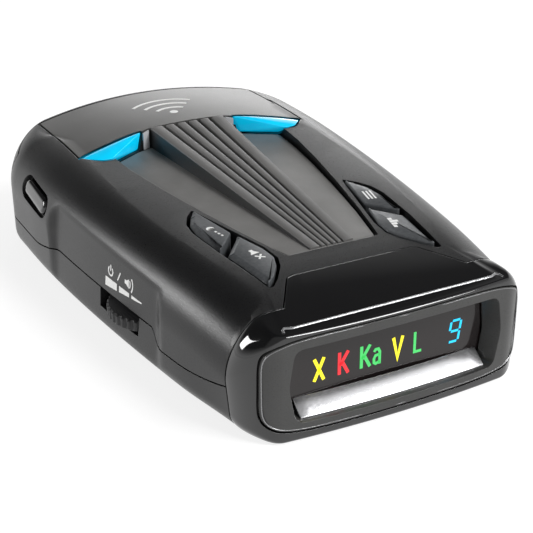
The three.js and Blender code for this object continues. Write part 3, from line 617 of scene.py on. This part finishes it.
lower = cut(lower, *slots, *[drum(x, y, -1, 2.6, SCREW_HEAD) for x, y in SCREWS],
            *[drum(x, y, -1, 20, SCREW_SHANK) for x, y in SCREWS], wheel_well, wheel_window, jack_hole)
piece("bottom_cover_skin", lower, case_black, ["bottom_cover"])


def face_plate(grow, sides=160):
    """Outline of the display face, a rounded rectangle as a superellipse."""
    half, tall, power = FACE["half"] + grow, FACE["tall"] + grow, 2 / FACE["power"]

    def squared(t):
        return math.copysign(abs(t) ** power, t)

    return [(half * squared(math.cos(a)), FACE["z"] + tall * squared(math.sin(a))) for a in circle(sides)]


hood_hollow = keep(case_form(HOOD_WALL), block(-PAD, PAD, 2, PAD, -1, 19.4))
hood = cut(keep(body, hood_zone(0)), hood_hollow, prism(face_plate(0), AHEAD, 4.4, "y"))
piece("front_hood_shell", hood, gloss_black, ["front_hood"])

bracket_slot = rounded([(-13, 12.6), (13, 12.6), (13, 17.3), (-13, 17.3)], 0.5)
laser_opening = rounded([(17.5, 6.5), (26.5, 6.5), (26.5, 12.5), (17.5, 12.5)], 0.5)
rear = cut(keep(body, rear_zone(0)), prism(bracket_slot, 90, BEHIND, "y"),
           prism(laser_opening, 100, BEHIND, "y"))
piece("rear_cover_skin", rear, case_black, ["rear_cover"])

crown = cut(keep(body, crown_plan(GAP)), lens_block(1, 0.5), lens_block(-1, 0.5))
piece("crown_panel_skin", crown, satin_grey, ["crown_panel"])


# Trim panel: two side plates and the ribbed wedge between them
def wedge_section(t):
    """Half section of the wedge at t, 0 at the front and 1 at the step, from the middle out, as (x, z)."""
    top, high = mix(4.3, 8.4, t), mix(21.9, 26.2, t)
    pitch, groove, deep = mix(1.1, 2.65, t), mix(0.22, 0.40, t), mix(0.42, 1.25, t)
    soft = mix(0.1, 0.22, t)
    line = [(0.0, high - deep), (groove * 0.7, high - deep)]
    for i in range(3):
        right = groove + i * pitch
        left = (i + 1) * pitch - groove if i < 2 else top
        line += [(right, high - soft), (right + soft * 0.35, high - soft * 0.3), (right + soft, high)]
        line += [(left - soft, high), (left - soft * 0.35, high - soft * 0.3), (left, high - soft)]
        if i < 2:
            line += [(left + groove * 0.3, high - deep), (left + groove * 1.7, high - deep)]
    line.append((mix(4.5, 8.7, t), PANEL_FLOOR - 0.1))
    return line


rings = []
for t in np.linspace(0, 1, 25):
    half = wedge_section(t)
    y = mix(PANEL_FRONT + 0.15, STEP_Y - GAP, t)
    rings.append([(x, y, z) for x, z in half[::-1] + [(-x, z) for x, z in half[1:]]])
wedge = loft(rings)
slab = prism([(0, PLATE_BOTTOM), (120, PLATE_BOTTOM), (120, panel_z(120)), (0, panel_z(0))], -PAD, PAD, "x")
plates = bevelled(keep(prism(panel_plan(0), PLATE_BOTTOM, 40), slab), 0.18)
piece("panel_plates", plates, panel_grey, ["ribbed_panel"])
piece("panel_ribs", wedge, rib_grey)
# Thin near-black sheets over the wedge's outer side walls: painted shade, as those walls lie in shadow
for side, hand in ((-1, "left"), (1, "right")):
    wall = []
    for t in (0, 0.5, 1):
        (top, high), (foot, floor_z) = wedge_section(t)[-2:]
        y = mix(PANEL_FRONT + 0.2, STEP_Y - GAP - 0.05, t)
        wall.append([(side * x, y, z) for x, z in ((top + 0.03, high - 0.05), (foot + 0.03, floor_z),
                                                   (foot - 0.3, floor_z), (top - 0.3, high - 0.05))])
    piece(f"rib_wall_painted_shade_{hand}", loft(wall), painted_shade_black)

# Step plates beside the wedge, and the lenses outside them
for side, hand in ((-1, "left"), (1, "right")):
    strip = [(side * x, y + thick, z) for x, y, top in ((8.9, 83.25, 25.75), (10.45, 82.65, 25.4))
             for z in (21.9, top) for thick in (0, 0.45)]
    piece(f"step_plate_{hand}", hull(strip), silver)
    lens = bevelled(lens_block(side, 0), 0.3, 3, 20)
    piece(f"alert_lens_{hand}_skin", lens, blue_lens, [f"alert_lens_{hand}"])


# Keys
def key_cap(shape, side):
    """Cap with a narrow bevel all round and a wide sloping one on the outer side."""
    base = np.array(rounded(sided(shape, side), 0.5, 4))
    along = np.roll(base, -1, 0) - np.roll(base, 1, 0)
    along /= np.linalg.norm(along, axis=1)[:, None] + 1e-9
    area = np.sum(base[:, 0] * np.roll(base[:, 1], -1) - base[:, 1] * np.roll(base[:, 0], -1))
    normal = np.stack([along[:, 1], -along[:, 0]], 1) * np.sign(area)
    outward = np.clip(normal[:, 0] * side, 0, 1)
    depth = 0.16 + 0.75 * smooth((outward - 0.55) / 0.35)
    top = base - normal * depth[:, None]
    brow = base - normal * 0.04
    fall = 0.14 + 0.5 * smooth((outward - 0.55) / 0.35)
    rings = [
        [(x, y, CEILING - 0.6) for x, y in base],
        [(x, y, key_top(y) - f - 0.12) for (x, y), f in zip(base, fall)],
        [(x, y, key_top(y) - f) for (x, y), f in zip(brow, fall)],
        [(x, y, key_top(y) - 0.03) for x, y in top],
        [(x, y, key_top(y)) for x, y in top - normal * 0.12],
    ]
    return loft(rings)


for side, hand in ((-1, "left"), (1, "right")):
    for end, shape in (("rear", REAR_KEY), ("front", FRONT_KEY)):
        piece(f"{end}_{hand}_keycap", key_cap(shape, side), key_grey, [f"{end}_{hand}_button"],
              rides=f"{end}_{hand}_key", smooth_angle=22)


# ------------------------------------------------------------------ display end
def mouth_section(y, top, middle, bottom, low, high, corner):
    """The display recess at y: half widths at three heights, then the heights and the corner radius."""
    mid = (low + high) / 2
    shape = [(-top, high), (-middle, mid), (-bottom, low), (bottom, low), (middle, mid), (top, high)]
    return [(x, y, z) for x, z in rounded(shape, [corner, 9, corner, corner, 9, corner], 6)]


plate = keep(prism(face_plate(-GAP), AHEAD, 4.2, "y"), outer)
mouth = loft([mouth_section(-1.2, 20.6, 21.7, 20.4, 2.9, 17.2, 2.4),
              mouth_section(1.0, 19.4, 20.5, 19.2, 3.3, 16.5, 2.0),
              mouth_section(4.6, 18.2, 18.9, 18.1, 3.1, 15.6, 1.2)])
piece("bezel_plate", cut(plate, mouth), bezel_grey, ["display_bezel"])

profile = [(1.3, 3.3), (4.2, 3.3), (4.2, 5.75), (1.3, 3.55)]
reflector = loft([[(x, y + FRONT_BOW * x * x - 0.3, z) for y, z in profile]
                  for x in np.linspace(-18, 18, 19)])
piece("reflector_skin", bevelled(reflector, 0.2, 4), chrome, ["reflector_bar"])


def tube(path, radius, sides=10, up=(0, 0, 1)):
    """A round bead along an open path that never runs along up."""
    path = np.array(path, float)
    rings = []
    for i, p in enumerate(path):
        way = path[min(i + 1, len(path) - 1)] - path[max(i - 1, 0)]
        way /= np.linalg.norm(way)
        a = np.cross(way, up)
        a /= np.linalg.norm(a)
        b = np.cross(way, a)
        rings.append([p + radius * (math.cos(t) * a + math.sin(t) * b) for t in circle(sides)])
    return loft(rings)


# The bright line on the hood's upper edge: a light metal bead, a painted highlight where the real edge is
# gloss black
lip = [(-20.9, 2.0), (-20.7, 2.7), (-20.2, 3.1), (-19.6, 2.9), (-19.0, 2.7)]
lip += [(x, 2.7) for x in np.linspace(-18, 18, 37)] + [(-x, y) for x, y in lip[::-1]]
lip = [(x, y, float(min(deck_z(y), crown_z(x, y))) - 0.06) for x, y in lip]
piece("hood_lip_highlight", tube(lip, 0.24), painted_highlight_lip)


def front_y(x):
    """How far back the display face is at x, with its rounded ends."""
    turn = max(0.0, (abs(x) - FRONT_EDGE) / FRONT_ROUND)
    return FRONT_BOW * x * x + FRONT_ROUND * (1 - math.sqrt(1 - turn * turn))


# A thin light metal ring round the display face: painted highlight standing in for the light on the bezel's
# edge
plate_edge = [(x, front_y(x) + 0.1, z) for x, z in face_plate(-0.5)]
piece("bezel_rim_highlight", tube(plate_edge + plate_edge[:1], 0.12, up=(0, 1, 0)), painted_highlight_rim)


# ------------------------------------------------------------------ wheel and release button
def wheel_ring(shrink, z):
    points, ridges = [], WHEEL["ridges"]
    for i in range(ridges):
        for step, r in ((0.0, 0.35), (0.18, 0.35), (0.34, 0.06), (0.45, 0.0), (0.73, 0.0), (0.84, 0.06)):
            a = (i + step) / ridges * 2 * math.pi
            radius = WHEEL["r"] - max(r, shrink) - (shrink if r < 0.3 else 0) * 0.4
            points.append((WHEEL["x"] + radius * math.cos(a), WHEEL["y"] + radius * math.sin(a), z))
    return points


z0, z1 = WHEEL["z"], WHEEL["z"] + WHEEL["t"]
disc = loft([wheel_ring(shrink, z)
             for shrink, z in ((0.3, z0), (0.0, z0 + 0.3), (0.0, z1 - 0.3), (0.3, z1))])
disc = cut(disc, drum(WHEEL["x"], WHEEL["y"], 0, 20, WHEEL["bore"]))
piece("wheel_knurled", disc, dark_plastic, ["volume_wheel"], rides="wheel", smooth_angle=40)

dome = [(0.0, 1.7), (0.0, 0.75), (0.06, 0.5), (0.22, 0.28), (0.5, 0.15), (0.95, 0.12)]
stem = block(-33.8, -30, 77.5, 86.5, 14.9, 16.9)
button = join(loft([release_ring(-d, depth) for d, depth in dome]), stem)
piece("release_cap", button, gloss_black, ["release_button"], rides="latch", smooth_angle=40)

coil = []
for t in np.linspace(0, 1, 160):
    a = t * SPRING["turns"] * 2 * math.pi
    coil.append((mix(SPRING["x"] + 0.3, SPRING["x"] + SPRING["long"] - 0.3, t),
                 SPRING["y"] + SPRING["coil"] * math.sin(a), SPRING["z"] + SPRING["coil"] * math.cos(a)))
spring = piece("latch_spring_coil", tube(coil, SPRING["wire"], 8, (1, 0, 0)), steel,
               ["latch_spring"])
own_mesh(spring)


# ------------------------------------------------------------------ printed marks and lit characters
def ribbon(rim, place):
    """A thin closed strip whose rim of (u, v) points runs along one edge and back along the other."""
    n, k = len(rim), len(rim) // 2
    points = [place(u, v, h) for h in (PRINT_LOW, PRINT_HIGH) for u, v in rim]
    faces = [(i, (i + 1) % n, n + (i + 1) % n, n + i) for i in range(n)]
    for i in range(k - 1):
        quad = (i, i + 1, n - 2 - i, n - 1 - i)
        faces += [quad, tuple(n + q for q in quad)]
    return solid(points, faces)


def stroke(path, width, place):
    """A flat ribbon of constant width along a path of (u, v), laid on a surface by place(u, v, height)."""
    path = np.array(path, float)
    ways = np.diff(path, axis=0)
    ways /= np.linalg.norm(ways, axis=1)[:, None]
    left, right = [], []
    for i, p in enumerate(path):
        a, b = ways[max(i - 1, 0)], ways[min(i, len(ways) - 1)]
        bend = a + b
        bend /= np.linalg.norm(bend)
        side = np.array([-bend[1], bend[0]]) * width / 2 / max(0.35, float(bend @ b))
        left.append(p + side)
        right.append(p - side)
    return ribbon(left + right[::-1], place)


def patch(shape, place):
    """A flat filled outline laid on a surface."""
    return loft([[place(u, v, h) for u, v in shape] for h in (PRINT_LOW, PRINT_HIGH)])


def arc(cx, cy, r, start, stop, steps=14):
    turns = np.radians(np.linspace(start, stop, steps))
    return [(cx + r * math.cos(a), cy + r * math.sin(a)) for a in turns]


def marks(name, parts, material, rides="case"):
    """Joins separate flat marks into one piece."""
    bm = bmesh.new()
    for part in parts:
        bm.from_mesh(part.data)
    mesh = bpy.data.meshes.new(name)
    bm.to_mesh(mesh)
    bm.free()
    holder = new_object("marks", mesh)
    scratch.append(holder)
    piece(name, holder, material, rides=rides)


def on_display(cx, cz):
    return lambda u, v, h: (cx + u, DISPLAY_Y - h, cz + v)


GLYPHS = {
    "X": [[(-0.42, -0.5), (0.42, 0.5)], [(-0.42, 0.5), (0.42, -0.5)]],
    "K": [[(-0.36, -0.5), (-0.36, 0.5)], [(-0.3, -0.08), (0.4, 0.5)], [(-0.12, 0.06), (0.42, -0.5)]],
    "V": [[(-0.42, 0.5), (0.0, -0.46), (0.42, 0.5)]],
    "L": [[(-0.34, 0.5), (-0.34, -0.42), (0.42, -0.42)]],
    "a": [[(-0.36, 0.1), (-0.2, 0.2), (0.1, 0.2), (0.26, 0.06), (0.26, -0.5)],
          [(0.26, -0.06), (-0.2, -0.08), (-0.36, -0.22), (-0.34, -0.4), (-0.14, -0.46), (0.26, -0.38)]],
}


def character(letter, cx, tall=4.1, wide=2.15, bold=0.58):
    place = on_display(cx, 9.7)
    return [stroke([(u * wide, v * tall) for u, v in path], bold, place) for path in GLYPHS[letter]]


marks("indicator_1", character("X", -13.1), yellow_light)
marks("indicator_2", character("K", -8.5), red_light)
marks("indicator_3", character("K", -4.3) + character("a", -2.0, wide=1.8, bold=0.5), green_light)
marks("indicator_4", character("V", 2.0), yellow_light)
marks("indicator_5", character("L", 6.0, wide=1.8, bold=0.5), green_light)


def digit_place(u, v, h):
    """Like on_display, with the digit's slant."""
    return 13.5 + u + 0.14 * v, DISPLAY_Y - h, 9.9 + v


SEGMENTS = [[(-0.75, 2.0), (0.75, 2.0)], [(-0.75, 0), (0.75, 0)], [(-0.75, -2.0), (0.75, -2.0)],
            [(-1.0, 1.78), (-1.0, 0.22)], [(1.0, 1.78), (1.0, 0.22)], [(1.0, -0.22), (1.0, -1.78)]]
marks("indicator_digit", [stroke(s, 0.42, digit_place) for s in SEGMENTS], cyan_light)


def on_key(cx, cy, degrees):
    c, s = math.cos(math.radians(degrees)), math.sin(math.radians(degrees))

    def place(u, v, h):
        x, y = cx + u * c - v * s, cy + u * s + v * c
        return x, y, key_top(y) + h

    return place


def mark_sets():
    """For each key: its name, where its mark goes, and what makes each part of the mark."""
    moon = arc(-1.0, 0, 0.75, 50, 310) + arc(-0.55, 0, 0.62, 292, 68)
    yield "rear_left", on_key(-16.3, 36.4, -76), [
        lambda p: patch(moon, p),
        *[lambda p, u=u: stroke([(u, 0.0), (u + 0.45, 0.0)], 0.4, p) for u in (0.3, 1.2, 2.1)]]
    yield "front_left", on_key(-13.7, 24.9, -79), [
        lambda p: patch([(-1.9, -0.35), (-1.2, -0.35), (-0.4, -0.9), (-0.4, 0.9), (-1.2, 0.35),
                         (-1.9, 0.35)], p),
        lambda p: stroke([(0.3, -0.65), (1.6, 0.65)], 0.36, p),
        lambda p: stroke([(0.3, 0.65), (1.6, -0.65)], 0.36, p)]
    yield "rear_right", on_key(16.6, 37.4, -101), [
        lambda p, v=v: stroke([(-1.8, v), (1.8, v)], 0.34, p) for v in (-0.7, 0.0, 0.7)]
    yield "front_right", on_key(14.4, 25.2, -101), [
        lambda p, b=b: patch([(b[0], -0.8), (b[0] + b[1], -0.8), (b[0] + b[1], b[2]), (b[0], b[2])], p)
        for b in ((-1.9, 0.8, 0.0), (-0.9, 0.8, 0.8), (0.1, 0.8, 0.3), (1.1, 0.8, -0.1))]


for key, place, makers in mark_sets():
    marks(f"{key}_pictogram", [make(place) for make in makers], print_white,
          rides=f"{key}_key")


def on_crown(u, v, h):
    return u, v, float(crown_z(u, v)) + h


waves = [stroke(arc(0, 88.5, r, 52, 128, 24), 0.75, on_crown) for r in (5.0, 8.0, 11.0)]
dot = patch(arc(0, 90.4, 0.9, 0, 345, 20), on_crown)
marks("crown_wave_mark", waves + [dot], print_white)


def side_x(y, z):
    """How far out the side of the case is at a height above the seam."""
    reach = float(shoulder(y))
    edge = float(half_width(y))
    top = float(crown_z(edge - reach, y))
    t = (z - top + SHOULDER_DROP) / SHOULDER_DROP
    back = reach * (1 - math.sqrt(1 - t * t)) if t > 0 else 0.0
    return min(edge - back, edge - float(facet(y)) * (1 + FACET_LEAN * max(0, z - 6)))


def on_side(u, v, h):
    return -side_x(u, v) - h, u, v


def side_grid(y0, low0, high0, y1, low1, high1, steps=5):
    """A printed bar that follows the side."""
    spots = [(mix(y0, y1, t), mix(low0, low1, t), mix(high0, high1, t)) for t in np.linspace(0, 1, steps)]
    return ribbon([(y, low) for y, low, _ in spots] + [(y, high) for y, _, high in spots[::-1]], on_side)


# Three tapering bars, a power symbol, a slash and a speaker with two waves
bars = [side_grid(49.2, 10.3, 12.1, 44.8, 10.75, 12.1), side_grid(43.9, 10.9, 12.1, 40.2, 11.35, 12.1),
        side_grid(39.3, 11.45, 12.1, 35.7, 11.85, 12.1)]
turns = np.radians(np.linspace(40, 320, 20))
bars.append(stroke([(47.3 - 0.85 * math.sin(a), 13.7 + 0.85 * math.cos(a)) for a in turns], 0.32, on_side))
bars.append(stroke([(47.3, 13.7), (47.3, 14.9)], 0.32, on_side))
bars.append(stroke([(43.6, 14.7), (44.6, 12.9)], 0.3, on_side))
bars.append(patch([(41.9, 13.45), (41.3, 13.45), (40.4, 12.95), (40.4, 14.7), (41.3, 14.2), (41.9, 14.2)],
                  on_side))
for r in (1.0, 1.9):
    wave = [(40.9 - r * math.cos(a), 13.83 + r * math.sin(a)) for a in np.radians(np.linspace(-42, 42, 10))]
    bars.append(stroke(wave, 0.3, on_side))
marks("power_volume_mark", bars, print_white)

# ------------------------------------------------------------------ finishes of the CAD nodes that show
SLOT_FINISH = {
    "case_black": case_black, "gloss_black": gloss_black, "satin_grey": satin_grey, "key_grey": key_grey,
    "smoked_window": smoked, "reflector": chrome, "blue_lens": blue_lens, "red_lens": red_lens,
    "dark_plastic": dark_plastic, "white_plastic": white_plastic, "board": board_green, "steel": steel,
    "cast_metal": cast_metal, "paper": paper,
}
node_slots = {row["node"]: row["material_slot"] for row in frame["record"]["subparts"]}
for name, obj in frame["nodes"].items():
    look = SLOT_FINISH[node_slots.get(name, "dark_plastic")]
    obj.data.materials.clear()
    obj.data.materials.append(look)

for obj in scratch:
    bpy.data.objects.remove(obj)

# ------------------------------------------------------------------ floor, light and camera
FLOOR_REACH, FLOOR_Z = 6, -0.0002
FLOOR_TONE, FLOOR_GLOW = 0.30, 0.80

floor_mesh = bpy.data.meshes.new("floor")
corners = [(a * FLOOR_REACH, b * FLOOR_REACH, FLOOR_Z) for a, b in ((-1, -1), (1, -1), (1, 1), (-1, 1))]
floor_mesh.from_pydata(corners, [], [(0, 1, 2, 3)])
floor = new_object("floor", floor_mesh)
floor_look = bpy.data.materials.new("floor")
floor_look.use_nodes = True
pale = floor_look.node_tree.nodes["Principled BSDF"]
pale.inputs["Base Color"].default_value = (FLOOR_TONE, FLOOR_TONE, FLOOR_TONE, 1)
pale.inputs["Roughness"].default_value = 0.9
pale.inputs["Specular IOR Level"].default_value = 0.1
pale.inputs["Emission Color"].default_value = (1, 1, 1, 1)
pale.inputs["Emission Strength"].default_value = FLOOR_GLOW
floor_mesh.materials.append(floor_look)
floor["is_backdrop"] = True

world = bpy.data.worlds.new("studio")
bpy.context.scene.world = world
world.use_nodes = True
tree = world.node_tree
where = node(tree, "ShaderNodeTexCoord")
split = node(tree, "ShaderNodeSeparateXYZ")
tree.links.new(where.outputs["Generated"], split.inputs["Vector"])


def ramped(source, stops):
    """A grey tone from stops of (value, tone)."""
    low_at, high_at = stops[0][0], stops[-1][0]
    fit = node(tree, "ShaderNodeMapRange")
    fit.inputs["From Min"].default_value, fit.inputs["From Max"].default_value = low_at, high_at
    tree.links.new(source, fit.inputs["Value"])
    ramp = node(tree, "ShaderNodeValToRGB")
    for _ in stops[2:]:
        ramp.color_ramp.elements.new(0.5)
    for element, (at, tone) in zip(ramp.color_ramp.elements, stops):
        element.position, element.color = (at - low_at) / (high_at - low_at), (tone, tone, tone, 1)
    tree.links.new(fit.outputs["Result"], ramp.inputs["Fac"])
    return ramp.outputs["Color"]


# Bright low horizon behind the object, lower on the left; dark above it; bright again in front
left_drop = ramped(split.outputs["X"], [(-0.4, 0.36), (0.25, 0.0)])
lifted = node(tree, "ShaderNodeMath", operation="ADD")
tree.links.new(split.outputs["Z"], lifted.inputs[0])
tree.links.new(left_drop, lifted.inputs[1])
horizon = ramped(lifted.outputs["Value"], [(0.0, 1.0), (0.4, 1.0), (0.5, 0.42), (0.6, 0.06), (1.0, 0.03)])
front_glow = ramped(split.outputs["Y"], [(-0.5, 0.9), (-0.1, 0.8), (0.1, 0.14), (0.3, 0.0)])
front_side = ramped(split.outputs["X"], [(0.15, 0.3), (0.33, 0.34), (0.5, 1.0), (0.8, 0.7)])


def blended(kind, first, second):
    """Two tones mixed in full by a blend type."""
    step = node(tree, "ShaderNodeMix", data_type="RGBA", blend_type=kind)
    step.inputs["Factor"].default_value = 1.0
    tree.links.new(first, step.inputs["A"])
    tree.links.new(second, step.inputs["B"])
    return step.outputs["Result"]


tones = blended("LIGHTEN", horizon, blended("MULTIPLY", front_glow, front_side))
tree.links.new(tones, tree.nodes["Background"].inputs["Color"])
tree.nodes["Background"].inputs["Strength"].default_value = 1.0


def area_light(name, way, distance, width, depth, power):
    """A soft box, facing the object from a direction; distance and size in metres, power in watts."""
    data = bpy.data.lights.new(name, "AREA")
    data.shape, data.size, data.size_y, data.energy = "RECTANGLE", width, depth, power
    lamp = new_object(name, data)
    way = Vector(way).normalized()
    lamp.location = way * distance + Vector((0, -0.02, 0.015))
    lamp.rotation_euler = way.to_track_quat("Z", "Y").to_euler()


area_light("front_box", (0.42, -0.62, 0.66), 1.0, 0.40, 0.32, 8.0)
area_light("side_box", (-0.74, 0.59, 0.28), 0.8, 0.24, 0.20, 2.2)
area_light("rear_box", (0.46, 0.87, 0.14), 1.0, 0.45, 0.15, 0.75)

# Solved from the photo: lens in mm, angles in degrees, place in metres
CAMERA = dict(lens=82.51, turn=27.4545, tip=25.4269, roll=-0.5706, place=(-0.0992, -0.19823, 0.10937))
camera_data = bpy.data.cameras.new("camera")
camera_data.lens, camera_data.sensor_width = CAMERA["lens"], 36
camera_data.clip_start = 0.01
camera = new_object("camera", camera_data)
turn, tip, roll = (math.radians(CAMERA[name]) for name in ("turn", "tip", "roll"))
ahead = Vector((math.cos(tip) * math.sin(turn), math.cos(tip) * math.cos(turn), -math.sin(tip)))
flat_right = Vector((math.cos(turn), -math.sin(turn), 0))
flat_up = flat_right.cross(ahead)
right = flat_right * math.cos(roll) + flat_up * math.sin(roll)
up = flat_up * math.cos(roll) - flat_right * math.sin(roll)
facing = Matrix((right, up, -ahead)).transposed().to_4x4()
camera.matrix_world = Matrix.Translation(CAMERA["place"]) @ facing
bpy.context.scene.camera = camera
bpy.context.scene.view_settings.view_transform = "Standard"

low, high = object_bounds()
{"cad": [list(cad_low), list(cad_high)], "visual": [list(low), list(high)]}
